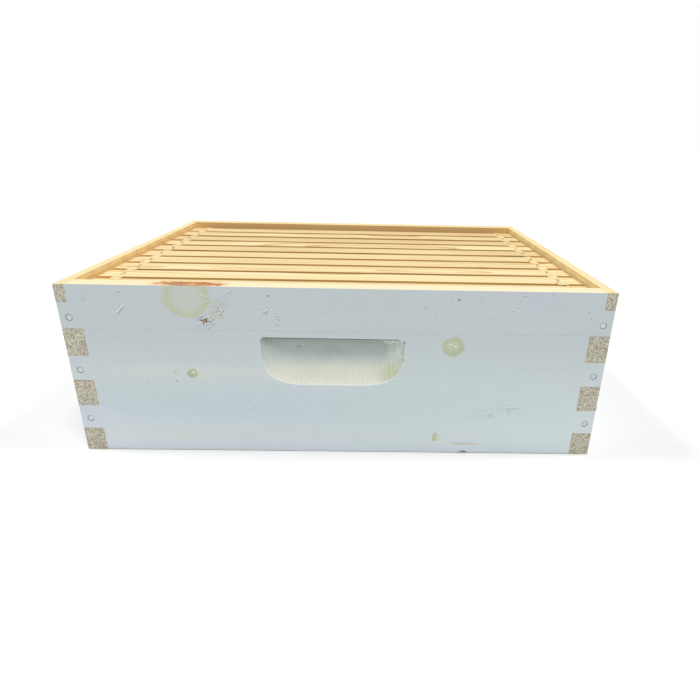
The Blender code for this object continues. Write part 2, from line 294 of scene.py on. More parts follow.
BOX_LOW, BOX_HIGH = (Vector(corner) for corner in cad_box)
LENGTH, WIDTH, RIM = BOX_HIGH.x - BOX_LOW.x, BOX_HIGH.y - BOX_LOW.y, BOX_HIGH.z
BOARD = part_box("front_side_board")[1].y - BOX_LOW.y
LEDGE = RIM - 0.0162  # where the frames' lugs rest
LEDGE_WIDE = 0.0095
FINGER = 0.0257
FINGER_LINES = [RIM, LEDGE, *(LEDGE - FINGER * step for step in range(1, 6)), 0.0]
JOINT_GAP = 0.00012
EASE = 0.0004  # radius of a sanded edge
SKIN = 0.0018  # a face no deeper than this is part of the box's outside
FACE_BACK = 0.0009  # the long faces lie this far behind the dust in the front's paint
GRIP_TOP = RIM - 0.0485
GRIP_WIDE, GRIP_HIGH, GRIP_DEEP = 0.1337, 0.0482, 0.0127
GRIP_SQUARE = 4.0  # the power of the curve round a grip: 2 would be an ellipse
FRONT_GRIP = -0.0061  # the front's grip sits a little left of the middle
FRONT_GRIP_WIDE = 0.1349
INSIDE, PAINTED, SAWN_END, ON_RIM = range(4)  # a board's materials, in order


def apply_modifiers(piece):
    make_active(piece)
    for modifier in list(piece.modifiers):
        bpy.ops.object.modifier_apply(modifier=modifier.name)


def add_block(name, low, high):
    deselect_all()
    low, high = Vector(low), Vector(high)
    bpy.ops.mesh.primitive_cube_add(size=1, location=(low + high) / 2, scale=high - low)
    bpy.ops.object.transform_apply(location=True, rotation=True, scale=True)
    block = bpy.context.object
    block.name = block.data.name = name
    return block


def join(pieces, name):
    deselect_all()
    for piece in pieces:
        piece.select_set(True)
    bpy.context.view_layer.objects.active = pieces[0]
    bpy.ops.object.join()
    pieces[0].name = pieces[0].data.name = name
    return pieces[0]


def subtract(piece, cutter):
    """Cuts one body out of another; the cut faces keep the cutter's material."""
    cut = piece.modifiers.new("cut", "BOOLEAN")
    cut.object = cutter
    cut.material_mode = "TRANSFER" if cutter.data.materials else "INDEX"
    apply_modifiers(piece)
    bpy.data.objects.remove(cutter)


def round_edges(piece, width, segments=2):
    ease = piece.modifiers.new("eased", "BEVEL")
    ease.width = width
    ease.segments = segments
    ease.limit_method = "ANGLE"
    ease.angle_limit = math.radians(40)
    apply_modifiers(piece)


def smooth_by_angle(piece, degrees=42):
    make_active(piece)
    bpy.ops.object.shade_smooth_by_angle(angle=math.radians(degrees))
    weigh = piece.modifiers.new("flat_faces_lead", "WEIGHTED_NORMAL")
    weigh.keep_sharp = True
    apply_modifiers(piece)


def add_grip_cutter(centre_x, material, wide=GRIP_WIDE):
    """Half of a squarish lens, flat on top and facing the front, as the milling head sweeps it."""
    deselect_all()
    bpy.ops.mesh.primitive_uv_sphere_add(segments=128, ring_count=56, radius=1.0)
    cutter = bpy.context.object
    bpy.ops.object.mode_set(mode="EDIT")
    bpy.ops.transform.rotate(value=math.radians(90), orient_axis="X", center_override=(0, 0, 0))
    bpy.ops.mesh.bisect(plane_co=(0, 0, 0), plane_no=(0, 0, 1), clear_outer=True, use_fill=True)
    bpy.ops.object.mode_set(mode="OBJECT")
    for vertex in cutter.data.vertices:
        x, y, z = vertex.co
        reach = min(1.0, math.hypot(x, z))
        bearing = math.atan2(z, x)
        across, up = math.cos(bearing), math.sin(bearing)
        across = math.copysign(abs(across) ** (2 / GRIP_SQUARE), across)
        up = math.copysign(abs(up) ** (2 / GRIP_SQUARE), up)
        depth = GRIP_DEEP * (1.0 - reach ** (2.0 + 4.0 * across * across))
        if y < 0:
            depth = -0.5 * depth
        vertex.co = (
            centre_x + across * reach * wide / 2,
            -WIDTH / 2 + depth,
            GRIP_TOP + up * reach * GRIP_HIGH,
        )
    cutter.data.materials.append(material)
    make_active(cutter)
    bpy.ops.object.shade_smooth()
    return cutter


def object_place(owner):
    return add_node(owner, "ShaderNodeTexCoord").outputs["Object"]


def along_axis(owner, vector, axis):
    return add_node(owner, "ShaderNodeSeparateXYZ", {0: vector}).outputs[axis]


def fade(owner, value, start, end, most=1.0):
    """0 where the value is at start, rising evenly to most where it reaches end."""
    inputs = {"Value": value, "From Min": start, "From Max": end, "To Max": most}
    return add_node(owner, "ShaderNodeMapRange", inputs).outputs[0]


def spot(owner, place, centre, radii, softness=0.12, flat_axis=1):
    """A soft-edged ellipse on a wall, or on a rim with flat_axis 2: 1 inside and 0 outside."""
    centre, radii = list(centre), [1 / radius for radius in radii]
    centre.insert(flat_axis, 0)
    radii.insert(flat_axis, 0)
    away = vector_math(owner, "SUBTRACT", place, centre)
    reach = vector_math(owner, "LENGTH", vector_math(owner, "MULTIPLY", away, radii))
    return fade(owner, reach, 1 + softness, 1 - softness)


def speckle(owner, place, scale, detail=3.0):
    inputs = {"Vector": place, "Scale": scale, "Detail": detail}
    return add_node(owner, "ShaderNodeTexNoise", inputs).outputs["Fac"]


def wobbled_place(owner, amount, scale, place=None):
    """Object coordinates, warped so that drawn shapes get uneven outlines."""
    place = place or object_place(owner)
    warp = add_node(owner, "ShaderNodeTexNoise", {"Vector": place, "Scale": scale, "Detail": 2.0})
    centred = vector_math(owner, "SUBTRACT", warp.outputs["Color"], (0.5, 0.5, 0.5))
    return vector_math(owner, "MULTIPLY_ADD", centred, (amount, amount, amount), place)


def tint(owner, colour, inside, strength, added):
    """Lays a colour over another where inside is 1, as strongly as strength says."""
    return mix_colours(owner, math_node(owner, "MULTIPLY", inside, strength), colour, added)


def stain(owner, colour, inside, fleck, unevenness, strength, added):
    """Tints the inside of a shape, more or less from speck to speck."""
    depth = math_node(owner, "MULTIPLY_ADD", fleck, unevenness, strength - unevenness / 2)
    depth = math_node(owner, "MULTIPLY", inside, depth, clamp=True)
    return mix_colours(owner, depth, colour, added)


def mottled(name, roughness, scale, detail, stops):
    """A material whose colour varies with fine noise; also its shader and that noise."""
    material, shader = new_material(name, roughness)
    grains = speckle(material, object_place(material), scale, detail)
    set_colour(material, shader, ramp(material, grains, stops))
    return material, shader, grains


# Knots that bleed through the paint, glints on them, and specks of dirt: centre, radii,
# colour and strength.
RING_KNOT = (-0.1360, 0.1575)
GLUE_LINE = 0.1275
KNOTS = (
    ((-0.1376, 0.0846), (0.0056, 0.0058), "#cdd3bc", 0.45),
    ((-0.1394, 0.0834), (0.0042, 0.0046), "#a9b186", 0.85),
    ((-0.1392, 0.0836), (0.0026, 0.0028), "#c6ccaf", 0.75),
    ((-0.1396, 0.0822), (0.0016, 0.0007), "#98a070", 0.8),
    ((-0.1386, 0.0848), (0.0012, 0.0008), "#e8ebdf", 1.0),
    ((-0.1556, 0.0846), (0.0022, 0.0020), "#c3c9a6", 0.8),
    ((-0.1549, 0.0757), (0.0011, 0.0011), "#b9ab8c", 0.8),
    ((0.1064, 0.1143), (0.0104, 0.0094), "#b2bc98", 0.95),
    ((0.1058, 0.1150), (0.0070, 0.0060), "#c6ceb2", 0.6),
    ((0.1040, 0.1168), (0.0020, 0.0006), "#e9ece0", 1.0),
    ((0.1086, 0.1150), (0.0022, 0.0006), "#e9ece0", 1.0),
    ((0.0940, 0.0184), (0.0030, 0.0046), "#bfc79e", 0.95),
    ((0.0978, 0.0180), (0.0026, 0.0036), "#d3d6c0", 0.7),
    ((-0.1150, 0.1400), (0.0022, 0.0070), "#c2caa8", 0.6),
    ((-0.1090, 0.1470), (0.0060, 0.0100), "#c0c5b4", 0.5),
    ((0.1245, 0.0105), (0.0160, 0.0016), "#c8bca6", 0.5),
    ((0.1245, 0.0010), (0.0056, 0.0024), "#bdb99a", 0.6),
    ((-0.0624, 0.1602), (0.0009, 0.0007), "#8f7058", 1.2),
    ((-0.0668, 0.1452), (0.0018, 0.0011), "#a2937c", 1.0),
    ((0.1083, 0.1592), (0.0008, 0.0008), "#6a6056", 1.3),
    ((-0.1820, 0.0754), (0.0006, 0.0006), "#9c9688", 1.0),
    ((-0.1083, 0.1480), (0.0010, 0.0007), "#93836a", 1.1),
    ((-0.1040, 0.1462), (0.0008, 0.0010), "#93836a", 1.1),
    ((-0.1068, 0.1418), (0.0012, 0.0006), "#a2937c", 1.1),
)


def paint_material(name, facing, with_knots=False):
    """One thin coat of exterior acrylic, brushed along the board; bare pine past its edges."""
    material, shader = new_material(name, 0.42)
    pine, grain = pine_colour(material, *SAPWOOD)
    place = wobbled_place(material, 0.003, 90.0)
    cloudy = stretched_noise(material, place, (1, 1, 1.4), 7.0, 1.0, 0.4)
    middle = spot(material, place, (0.05, 0.08), (0.18, 0.20), 0.8)
    clouds = ramp(material, cloudy, ((0.38, 0.0), (0.62, 0.6)))
    greener = math_node(material, "MULTIPLY_ADD", middle, 0.5, clouds, clamp=True)
    # Painted light: the coat's cool blue and green tints stand in for skylight on a face in shade.
    coat = mix_colours(material, greener, "#dbe0ee", "#d4e3e2")
    # Painted shade: the coat turns darker and greyer from 3 cm up to 12 cm above the board's bottom.
    shade_higher_up = fade(material, along_axis(material, place, "Z"), 0.03, 0.12, 0.66)
    coat = mix_colours(material, shade_higher_up, coat, "#bcc5ca")
    brushed = stretched_noise(material, place, (0.10, 0.10, 1.0), 420.0, 3.0, 0.6)
    coat = tint(material, coat, brushed, 0.16, "#bec5c6")
    # The pine's late wood shows very faintly through the coat.
    coat = tint(material, coat, grain, 0.05, "#cbc7ae")
    if with_knots:
        # Broad bands along the grain, lighter or darker than the coat around them.
        for centre, radii, softness, strength, colour in (
            ((-0.160, 0.020), (0.18, 0.007), 0.7, 0.45, "#dcdfd0"),
            ((-0.100, 0.045), (0.20, 0.022), 0.8, 0.35, "#acc4c9"),
            ((-0.125, 0.085), (0.09, 0.006), 0.8, 0.40, "#d9ded2"),
        ):
            band = spot(material, place, centre, radii, softness)
            coat = tint(material, coat, band, strength, colour)
        uneven = wobbled_place(material, 0.0045, 75.0, place)
        fleck = stretched_noise(material, place, (1, 1, 1), 800.0, 3.0, 0.7)
        for centre, radii, colour, strength in KNOTS:
            inside = spot(material, uneven, centre, radii, 0.16)
            coat = stain(material, coat, inside, fleck, 1.6, strength, colour)
        x, z = RING_KNOT
        for centre, radii, hollow, colour, strength in (
            (RING_KNOT, (0.0215, 0.0192), None, "#c8cec2", 0.65),
            (RING_KNOT, (0.0211, 0.0188), 0.68, "#c0c8a8", 0.85),
            ((x + 0.001, z), (0.0120, 0.0104), 0.66, "#c6cdb4", 0.22),
            ((x + 0.001, z - 0.001), (0.0056, 0.0046), None, "#c3cbb0", 0.30),
        ):
            inside = spot(material, uneven, centre, radii, 0.10)
            if hollow:
                core = spot(material, uneven, centre, [hollow * radius for radius in radii], 0.26)
                inside = math_node(material, "SUBTRACT", inside, core, clamp=True)
            coat = stain(material, coat, inside, fleck, 0.8, strength, colour)
    # Paint stops on the rounded edges, where the sanding or the brush left it thin.
    face = add_node(material, "ShaderNodeNewGeometry")
    turned_out = vector_math(material, "DOT_PRODUCT", face.outputs["Normal"], facing)
    ragged = stretched_noise(material, place, (1, 1, 1), 260.0, 3.0, 0.6)
    facing_out = math_node(material, "MULTIPLY", turned_out, 2.0)
    covered = math_node(material, "MULTIPLY_ADD", ragged, 0.5, facing_out)
    covered = fade(material, covered, 0.6, 0.75)
    set_colour(material, shader, mix_colours(material, covered, pine, coat))
    under = bump(material, shader, brushed, 0.0002, 0.9)
    under = bump(material, shader, speckle(material, place, 420.0), 0.0006, 0.9, under)
    if with_knots:
        # The board is glued up from two strips, and the paint sank a little along the glue line.
        straight = wobbled_place(material, 0.0006, 25.0)
        level = along_axis(material, straight, "Z")
        from_line = math_node(material, "ABSOLUTE", math_node(material, "SUBTRACT", level, GLUE_LINE))
        bump(material, shader, fade(material, from_line, 0.0, 0.0008), 0.0003, 0.8, under)
    return material


end_grain, shader = new_material("sawn_pine_end_grain", 0.8)
# Open pores drank the thin coat: a grey-beige with the year rings in it.
log_colour, log_height = pine_colour(end_grain, "#d3cebc", "#8c836a", 1.0, 0.0020)
pores = speckle(end_grain, object_place(end_grain), 850.0)
pitted = ramp(end_grain, pores, ((0.38, 0.8), (0.50, 0.0)))
smeared = ramp(end_grain, pores, ((0.52, 0.0), (0.66, 0.5)))
log_colour = mix_colours(end_grain, pitted, log_colour, "#82775f")
log_colour = mix_colours(end_grain, smeared, log_colour, "#ebebe4")
set_colour(end_grain, shader, log_colour)
rough_under = bump(end_grain, shader, log_height, 0.0002)
bump(end_grain, shader, pores, 0.00015, 1.0, rough_under)

grip_paint, shader = new_material("brushed_paint_on_milled_pine", 0.5)
# Paint sat thin in the grip: yellow-grey on the low slope and over torn end grain.
place = wobbled_place(grip_paint, 0.006, 60.0)
rise = fade(grip_paint, along_axis(grip_paint, place, "Z"), GRIP_TOP - 0.044, GRIP_TOP)
fleck = speckle(grip_paint, place, 1000.0)
# Painted light and shade: the coat goes from near white on the low slope to grey-green under the
# ledge at the top.
stops = ((0.0, "#eff1e6"), (0.3, "#dfe1d8"), (0.55, "#c0ccc9"), (0.8, "#b0bdb9"), (1.0, "#969d92"))
colour = ramp(grip_paint, rise, stops)
yellowed = ramp(grip_paint, fleck, ((0.42, 0.0), (0.60, 0.5)))
low_slope = ramp(grip_paint, rise, ((0.15, 1.0), (0.5, 0.0)))
colour = tint(grip_paint, colour, yellowed, low_slope, "#d8d6b4")
torn = 0.0
for centre, radii in (
    ((0.0590, GRIP_TOP - 0.016), (0.0120, 0.0240)),
    ((0.0490, GRIP_TOP - 0.034), (0.0125, 0.0080)),
    ((0.0470, GRIP_TOP - 0.003), (0.0065, 0.0030)),
):
    torn = math_node(grip_paint, "MAXIMUM", torn, spot(grip_paint, place, centre, radii, 0.45))
torn_colour = ramp(grip_paint, fleck, ((0.34, "#a0a282"), (0.42, "#d6dfce"), (0.54, "#eaf6f2")))
colour = tint(grip_paint, colour, torn, 0.85, torn_colour)
sappy = spot(grip_paint, place, (0.0500, GRIP_TOP - 0.034), (0.0120, 0.0085), 0.6)
colour = tint(grip_paint, colour, sappy, 0.6, "#d6d9a8")
# Painted highlight: a light line where the slope meets the board's face, strongest low down.
face_depth = FACE_BACK - WIDTH / 2
depth = along_axis(grip_paint, object_place(grip_paint), "Y")
bead = fade(grip_paint, depth, face_depth + 0.0010, face_depth)
highlight_low_down = ramp(grip_paint, rise, ((0.3, 1.0), (0.6, 0.15)))
colour = tint(grip_paint, colour, bead, highlight_low_down, "#f6f8f8")
brown = spot(grip_paint, place, (0.0440, 0.1190), (0.0050, 0.0026), 0.5)
colour = tint(grip_paint, colour, brown, 0.8, "#a9a271")
nick = spot(grip_paint, place, (-0.0390, 0.1084), (0.0014, 0.0005), 0.5)
colour = mix_colours(grip_paint, nick, colour, "#86796a")
set_colour(grip_paint, shader, colour)
# The head's teeth left faint arcs from its turning axis above the ledge.
arcs = add_node(
    grip_paint,
    "ShaderNodeTexWave",
    {"Vector": place, "Scale": 75.0, "Distortion": 1.5, "Detail": 2.0, "Detail Scale": 3.0},
    bands_direction="X",
)
under = bump(grip_paint, shader, arcs.outputs["Fac"], 0.0003, 0.8)
torn_height = math_node(grip_paint, "MULTIPLY", fleck, torn)
under = bump(grip_paint, shader, torn_height, 0.0009, 1.0, under)
bump(grip_paint, shader, fleck, 0.0002, 0.6, under)

stops = ((0.40, "#5f4b35"), (0.48, "#b5a585"), (0.58, "#e6e4da"))
torn_knot, shader, crumbs = mottled("torn_knot_wood", 0.85, 900.0, 4.0, stops)
bump(torn_knot, shader, crumbs, 0.001)

# A plain dark brown for the hollows of the chipped bottom edge and the lost knots.
dark_wood, shader = new_material("dark_brown_wood_in_hollows", 0.9)
shader.inputs["Base Color"].default_value = srgb("#5a4f42")
# Dark grey for the grip's lip, the nail rings and the torn bits: splintered wood, darkened as painted
# shade.
grey_wood, shader = new_material("splintered_wood_in_painted_shade", 0.85)
shader.inputs["Base Color"].default_value = srgb("#6c6f68")

front_pine, shader = new_material("planed_pine_with_knot", 0.55)
# The knot behind the front's ring comes out on the rim, red-brown and resinous.
colour, height = pine_colour(front_pine, "#fdedc6", "#e2ba7a", 0.6)
place = wobbled_place(front_pine, 0.011, 190.0)
fleck = stretched_noise(front_pine, place, (0.25, 1, 1), 420.0, 3.0, 0.7)
for centre, radii, added, strength in (
    ((-0.1345, -0.1975), (0.0295, 0.0092), "#e3ac70", 1.1),
    ((-0.1500, -0.1950), (0.0150, 0.0036), "#bd7444", 0.85),
    ((-0.1160, -0.1985), (0.0125, 0.0040), "#b96c3c", 0.9),
    ((-0.1440, -0.2005), (0.0100, 0.0030), "#a5806c", 0.80),
    ((-0.1300, -0.1935), (0.0160, 0.0018), "#a85c30", 0.9),
    ((-0.1330, -0.2040), (0.0140, 0.0014), "#b06c3e", 0.8),
):
    inside = spot(front_pine, place, centre, radii, 0.35, flat_axis=2)
    colour = stain(front_pine, colour, inside, fleck, 2.4, strength, added)
set_colour(front_pine, shader, colour)
bump(front_pine, shader, height, 0.00008)

front_paint = paint_material("brushed_exterior_acrylic_front", (0, -1, 0), with_knots=True)
back_paint = paint_material("brushed_exterior_acrylic_back", (0, 1, 0))
left_paint = paint_material("brushed_exterior_acrylic_left", (-1, 0, 0))
right_paint = paint_material("brushed_exterior_acrylic_right", (1, 0, 0))


def socket_blocks(fingers, outer, inner, axis):
    """Blocks that clear the sockets between a board's own fingers, at both of its ends."""
    blocks = []
    for finger in fingers:
        top, bottom = FINGER_LINES[finger], FINGER_LINES[finger + 1]
        top += JOINT_GAP if finger else BOARD
        bottom -= JOINT_GAP if finger < len(FINGER_LINES) - 2 else BOARD
        for side in (-1, 1):
            ends = sorted((side * outer, side * inner))
            low, high = [-1, -1, bottom], [1, 1, top]
            low[axis], high[axis] = ends
            blocks.append(add_block("socket", low, high))
    return blocks


def finish_board(piece, materials, face_axis, end_axis):
    """Rounds the edges, and gives each face its inside wood, paint, end grain or the rim's wood."""
    for material in materials:
        piece.data.materials.append(material)
    round_edges(piece, EASE, 3)
    for face in piece.data.polygons:
        turned_up = abs(face.normal.z) > 0.98
        at_end = abs(face.normal[end_axis]) > 0.2 and not turned_up
        outermost = abs(face.center[face_axis]) > BOX_HIGH[face_axis] - SKIN
        if at_end and abs(face.center[end_axis]) > BOX_HIGH[end_axis] - SKIN:
            face.material_index = SAWN_END
        elif abs(face.normal[face_axis]) > 0.02 and not turned_up:
            face.material_index = PAINTED if outermost else INSIDE
        elif outermost:
            face.material_index = PAINTED
        elif turned_up and face.center.z > RIM / 2:
            face.material_index = ON_RIM
    return piece


def turned_about_z(thing, degrees):
    thing.data.transform(Matrix.Rotation(math.radians(degrees), 4, "Z"))
    return thing


def add_side_board(name, inside, rim, paint):
    """A long board: fingers 1, 3 and 5 run through to the ends, and so does half of the top one."""
    low = (BOX_LOW.x, BOX_LOW.y + FACE_BACK, 0)
    piece = add_block(name, low, (BOX_HIGH.x, BOX_LOW.y + BOARD, RIM))
    through = LENGTH / 2 - BOARD - JOINT_GAP
    blocks = socket_blocks((2, 4, 6), LENGTH, through, 0)
    blocks += socket_blocks((0,), LENGTH, LENGTH / 2 - LEDGE_WIDE - JOINT_GAP, 0)
    subtract(piece, join(blocks, "sockets"))
    return finish_board(piece, (inside, paint, end_grain, rim), 1, 0)


front_board = add_side_board("front_board", bare_pine, front_pine, front_paint)
subtract(front_board, add_grip_cutter(FRONT_GRIP, grip_paint, FRONT_GRIP_WIDE))


def add_rod(start, end, radii, material):
    """A thin tapered bar between two places, to cut a narrow groove with."""
    start, end = Vector(start), Vector(end)
    deselect_all()
    thick, thin = radii
    bpy.ops.mesh.primitive_cone_add(
        vertices=16, radius1=thick, radius2=thin, depth=(end - start).length
    )
    rod = bpy.context.object
    rod.data.transform((end - start).to_track_quat("Z", "Y").to_matrix().to_4x4())
    rod.data.transform(Matrix.Translation((start + end) / 2))
    rod.data.materials.append(material)
    return rod


# The grip's upper lip is chipped bare from end to end; its dark grey is painted shade under the
# ledge.
lip_ends = [(FRONT_GRIP + x, BOX_LOW.y + FACE_BACK, GRIP_TOP) for x in (-0.0645, 0.0620)]
subtract(front_board, add_rod(*lip_ends, (0.0014, 0.0010), grey_wood))


def add_crater(centre, radii, seed, material, fineness=3):
    """A ragged hollow: a small ball pushed in and out at random."""
    deselect_all()
    bpy.ops.mesh.primitive_ico_sphere_add(subdivisions=fineness, radius=1)
    cutter = bpy.context.object
    for vertex in cutter.data.vertices:
        bumpiness = 0.75 + 0.7 * noise.noise(vertex.co * 1.9 + Vector((seed, 0, 0)))
        vertex.co = Vector(centre) + Vector(a * b for a, b in zip(vertex.co * bumpiness, radii))
    cutter.data.materials.append(material)
    return cutter


# The torn knot, pits round it, and small holes: place, size, depth and random seed.
CRATERS = (
    ((-0.1222, 0.1358), (0.0056, 0.0034), 0.0024, 3.0),
    ((-0.1170, 0.1350), (0.0030, 0.0020), 0.0018, 8.0),
    ((-0.1262, 0.1372), (0.0022, 0.0018), 0.0018, 6.0),
    ((-0.0624, 0.1602), (0.0009, 0.0007), 0.0014, 5.0),
    ((-0.1056, 0.1405), (0.0008, 0.0010), 0.0012, 15.0),
    ((0.1083, 0.1592), (0.0007, 0.0007), 0.0014, 19.0),
    ((0.1930, 0.1680), (0.0012, 0.0010), 0.0014, 22.0),
)
for (x, z), (wide, high), deep, seed in CRATERS:
    crater = add_crater((x, BOX_LOW.y, z), (wide, deep, high), seed, torn_knot)
    subtract(front_board, crater)
# A splinter broke off the bottom edge.
chip = add_crater((0.1247, BOX_LOW.y, 0.0), (0.0046, 0.0070, 0.0026), 12.0, dark_wood)
subtract(front_board, chip)

# The cutter tore short grain out along the grip's right edge and its upper lip; the dark grey in the
# tears is partly painted shade.
random.seed(23)
grip_right = FRONT_GRIP + FRONT_GRIP_WIDE / 2
torn_bits = [(grip_right - 0.0010, GRIP_TOP - 0.0024 * step) for step in range(1, 9)]
torn_bits += [(0.0240 + 0.0032 * step, GRIP_TOP + 0.0002) for step in range(11)]
for number, (x, z) in enumerate(torn_bits):
    size = random.uniform(0.0006, 0.0011)
    bit_place = (x + random.uniform(-0.0006, 0.0006), BOX_LOW.y + FACE_BACK, z)
    bit = add_crater(bit_place, (size, 0.0012, size), 40.0 + number, grey_wood, 2)
    subtract(front_board, bit)

NAIL_HEAD = 0.0027
NAIL_SHANK = 0.0015
NAIL_ROOM = 0.0004  # a ring of crushed wood round each head


def add_nail_hole(node):
    low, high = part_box(node)
    deselect_all()
    bpy.ops.mesh.primitive_cylinder_add(vertices=40, radius=NAIL_HEAD + NAIL_ROOM, depth=0.0044)
    hole = bpy.context.object
    hole.data.transform(Matrix.Rotation(math.radians(90), 4, "X"))
    hole.data.transform(Matrix.Translation(((low.x + high.x) / 2, BOX_LOW.y, (low.z + high.z) / 2)))
    # The ring's dark grey is painted shade in the gap round the nail head.
    hole.data.materials.append(grey_wood)
    return hole


NAILS = [f"{side}_{row}_nail" for side in ("left", "right") for row in ("upper", "middle", "lower")]
for node in NAILS:
    subtract(front_board, add_nail_hole(node))

back_board = add_side_board("back_board", warm_pine, pale_pine, back_paint)
subtract(back_board, add_grip_cutter(0.0, grip_paint))
turned_about_z(back_board, 180)


def add_end_board(name, inside, rim, paint):
    """A short board, made as the left one: fingers 0, 2, 4 and 6 run through, above a cut ledge."""
    low = (BOX_LOW.x, BOX_LOW.y + FACE_BACK, 0)
    piece = add_block(name, low, (BOX_LOW.x + BOARD, BOX_HIGH.y - FACE_BACK, RIM))
    blocks = socket_blocks((1, 3, 5), WIDTH, WIDTH / 2 - BOARD - JOINT_GAP, 1)
    subtract(piece, join(blocks, "sockets"))
    ledge_low = (BOX_LOW.x + LEDGE_WIDE, -1, LEDGE)
    subtract(piece, add_block("ledge", ledge_low, (0, 1, 1)))
    finish_board(piece, (inside, paint, end_grain, rim), 0, 1)
    cutter = add_grip_cutter(0.0, grip_paint)
    cutter.data.transform(Matrix.Translation((0, (WIDTH - LENGTH) / 2, 0)))
    subtract(piece, turned_about_z(cutter, -90))
    return piece


left_board = add_end_board("left_board", warm_pine, pale_pine, left_paint)
right_board = add_end_board("right_board", gold_pine, pale_pine, right_paint)
turned_about_z(right_board, 180)

for piece, node, along, pith, seed, tone in (
    (front_board, "front_side_board", "x", (0.085, -0.02), 1.3, -0.22),
    (back_board, "back_side_board", "x", (-0.055, 0.01), 4.1, 0.0),
    (left_board, "left_end_board", "y", (0.30, -0.27), 7.7, -0.16),
    (right_board, "right_end_board", "y", (0.27, -0.31), 9.2, -0.08),
):
    smooth_by_angle(piece)
    set_log_place(piece, along, pith, seed, tone)
    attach(piece, "hive_box")
    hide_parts(node)

# ---------------------------------------------------------------------------
# Nails: bright steel wire nails through the front board's fingers. Their flat
# heads were set a hair below the wood and then brushed over with the paint.

NAIL_POINT = 0.004
NAIL_SPARE = 0.006  # how much longer the whole nail is than its plain shank
NAIL_SET = 0.00065  # the middle of the head lies this far below the face

stops = ((0.30, "#aeb4b8"), (0.48, "#d3dae0"), (0.8, "#dfe5ea"))
painted_steel, shader, thin = mottled("brushed_paint_on_nail_head", 0.38, 700.0, 2.0, stops)
bump(painted_steel, shader, thin, 0.0003)


def add_nail(name, node):
    low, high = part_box(node)
    centre = (low + high) / 2
    deselect_all()
    bpy.ops.mesh.primitive_cylinder_add(vertices=32, radius=NAIL_HEAD, depth=0.001)
    nail = bpy.context.object
    nail.name = nail.data.name = name
    bpy.ops.object.mode_set(mode="EDIT")
    shape = bmesh.from_edit_mesh(nail.data)
    for face in shape.faces:
        face.select_set(face.normal.z < -0.9)
    bmesh.update_edit_mesh(nail.data)
    bpy.ops.mesh.inset(thickness=NAIL_HEAD - NAIL_SHANK)
    shank = {"value": (0, 0, -(high.y - low.y - NAIL_SPARE))}
    bpy.ops.mesh.extrude_region_move(TRANSFORM_OT_translate=shank)
    bpy.ops.mesh.extrude_region_move(TRANSFORM_OT_translate={"value": (0, 0, -NAIL_POINT)})
    bpy.ops.mesh.merge(type="CENTER")
    bpy.ops.object.mode_set(mode="OBJECT")
    nail.data.transform(Matrix.Rotation(math.radians(90), 4, "X"))
    nail.data.transform(Matrix.Translation((centre.x, BOX_LOW.y + FACE_BACK + NAIL_SET, centre.z)))
    round_edges(nail, 0.00022)
    nail.data.materials.append(painted_steel)
    smooth_by_angle(nail)
    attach(nail, "hive_box")
    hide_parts(node)


for node in NAILS:
    add_nail(f"{node}_driven", node)

# ---------------------------------------------------------------------------
# What the brush left in the wet paint: dust under small hard nubs, most of them
# near the rim, one stiff hair, and raised threads where the paint dragged.

nub_paint, shader = new_material("acrylic_over_dust", 0.35)
# Painted light and shade: each nub is lighter where its surface faces up and darker where it faces
# down.
light_and_shade_by_facing = add_node(nub_paint, "ShaderNodeNewGeometry").outputs["Normal"]
stops = ((0.0, "#7d8488"), (0.35, "#aab2b6"), (0.55, "#e0e6ea"), (1.0, "#eef2f5"))
light_and_shade_by_facing = math_node(nub_paint, "MULTIPLY_ADD", along_axis(nub_paint, light_and_shade_by_facing, "Z"), 0.5, 0.5)
set_colour(nub_paint, shader, ramp(nub_paint, light_and_shade_by_facing, stops))
random.seed(41)


def in_grip(x, z):
    """Whether a place on the front lies over the grip, or within a millimetre of it."""
    beside = abs(x - FRONT_GRIP) < FRONT_GRIP_WIDE / 2 + 0.001
    return beside and -0.049 < z - GRIP_TOP < 0.001


def add_nub(x, z, size, stretch=1.0, lean=0.0):
    deselect_all()
    bpy.ops.mesh.primitive_ico_sphere_add(subdivisions=2, radius=size)
    nub = bpy.context.object
    nub.data.transform(Matrix.Diagonal((stretch, 0.8, 0.8, 1)))
    for vertex in nub.data.vertices:
        vertex.co *= 1 + 0.5 * noise.noise(vertex.co * 900 + Vector((x * 70, z * 90, 0)))
    nub.data.transform(Matrix.Rotation(lean, 4, "Y"))
    proud = min(FACE_BACK, 0.9 * size)
    outermost = min(vertex.co.y for vertex in nub.data.vertices)
    nub.data.transform(Matrix.Translation((x, BOX_LOW.y + FACE_BACK - proud - outermost, z)))
    return nub


NUB_SIZES = (0.0004, 0.0005, 0.0007, 0.0009)
BRISTLE_LONG, BRISTLE_RADIUS = 0.0108, 0.0014

nubs = []
for _ in range(110):
    x = random.uniform(-0.235, 0.235)
    z = random.uniform(0.129, 0.165) if random.random() < 0.72 else random.uniform(0.02, 0.165)
    size = random.choice(NUB_SIZES)
    stretch, lean = random.uniform(0.9, 1.6), random.uniform(-0.7, 0.7)
    if not in_grip(x, z):
        nubs.append(add_nub(x, z, size, stretch, lean))
for x, z, size in (
    (-0.0971, 0.1641, 0.0014),
    (-0.1105, 0.1475, 0.0013),
    (-0.1230, 0.1605, 0.0011),
    (-0.0675, 0.1457, 0.0013),
    (-0.0652, 0.1468, 0.0010),
    (-0.2275, 0.1572, 0.0010),
    (-0.2272, 0.1553, 0.0010),
    (0.1480, 0.0435, 0.0013),
    (0.1500, 0.0415, 0.0011),
    (0.1650, 0.0480, 0.0012),
    (0.1668, 0.0466, 0.0010),
    (0.1770, 0.0465, 0.0008),
    (0.2290, 0.1500, 0.0010),
):
    nubs.append(add_nub(x, z, size, 1.1, 0.4))
